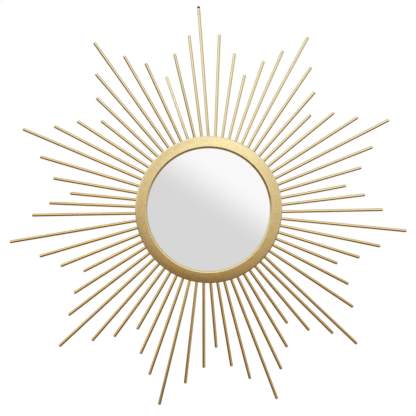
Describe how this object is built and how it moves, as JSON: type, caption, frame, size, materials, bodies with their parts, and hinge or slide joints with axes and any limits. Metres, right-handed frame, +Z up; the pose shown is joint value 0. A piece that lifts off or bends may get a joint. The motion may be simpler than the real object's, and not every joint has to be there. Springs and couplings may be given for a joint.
{
  "type": "sunburst wall mirror",
  "caption": "Round looking glass in a crowned gold ring with straight metal rods of mixed lengths fanning out behind it; wire D-ring on the back.",
  "frame": {"origin": "on the mirror's axis at the wall, the centre of the rear hoop's rim", "axes": "+Y out of the back towards the wall, so the glass faces -Y; +Z up; +X to the right seen from the front"},
  "size_m": [0.674, 0.0182, 0.6773],
  "materials": {
    "gold_ring": "satin brushed gold",
    "gold_ray": "satin gold",
    "gold_hoop": "satin gold",
    "gold_weld": "satin gold over a weld",
    "mirror": "silvered float glass",
    "foam": "closed-cell foam tape",
    "board": "tempered hardboard",
    "zinc_steel": "zinc plated",
    "hanger_wire": "zinc plated wire",
    "screw_steel": "yellow passivated"
  },
  "bodies": {
    "mirror": {"front_ring": "gold_ring", "mirror_glass": "mirror", "foam_pads": "foam", "backing_board": "board", "rear_hoop": "gold_hoop", "weld_beads": "gold_weld", "retaining_tabs": "zinc_steel", "hanger_strap": "zinc_steel", "hanger_screws": "screw_steel", "ray_long_01": "gold_ray", "ray_pair_second_01": "gold_ray", "ray_pair_third_01": "gold_ray", "ray_short_01": "gold_ray", "ray_long_02": "gold_ray", "ray_pair_second_02": "gold_ray", "ray_pair_third_02": "gold_ray", "ray_short_02": "gold_ray", "ray_long_03": "gold_ray", "ray_pair_second_03": "gold_ray", "ray_pair_third_03": "gold_ray", "ray_short_03": "gold_ray", "ray_long_04": "gold_ray", "ray_pair_second_04": "gold_ray", "ray_pair_third_04": "gold_ray", "ray_short_04": "gold_ray", "ray_long_05": "gold_ray", "ray_pair_second_05": "gold_ray", "ray_pair_third_05": "gold_ray", "ray_short_05": "gold_ray", "ray_long_06": "gold_ray", "ray_pair_second_06": "gold_ray", "ray_pair_third_06": "gold_ray", "ray_short_06": "gold_ray", "ray_long_07": "gold_ray", "ray_pair_second_07": "gold_ray", "ray_pair_third_07": "gold_ray", "ray_short_07": "gold_ray", "ray_long_08": "gold_ray", "ray_pair_second_08": "gold_ray", "ray_pair_third_08": "gold_ray", "ray_short_08": "gold_ray", "ray_long_09": "gold_ray", "ray_pair_second_09": "gold_ray", "ray_pair_third_09": "gold_ray", "ray_short_09": "gold_ray", "ray_long_10": "gold_ray", "ray_pair_second_10": "gold_ray", "ray_pair_third_10": "gold_ray", "ray_short_10": "gold_ray", "ray_long_11": "gold_ray", "ray_pair_second_11": "gold_ray", "ray_pair_third_11": "gold_ray", "ray_short_11": "gold_ray"},
    "wall_ring": {"hanger_ring": "hanger_wire"}
  },
  "joints": [
    {"name": "hanger_ring_swing", "type": "hinge", "parent": "mirror", "child": "wall_ring", "pos_m": [0, -0.0034, 0.092], "axis": [1, 0, 0], "range_deg": [0, 180]}
  ]
}
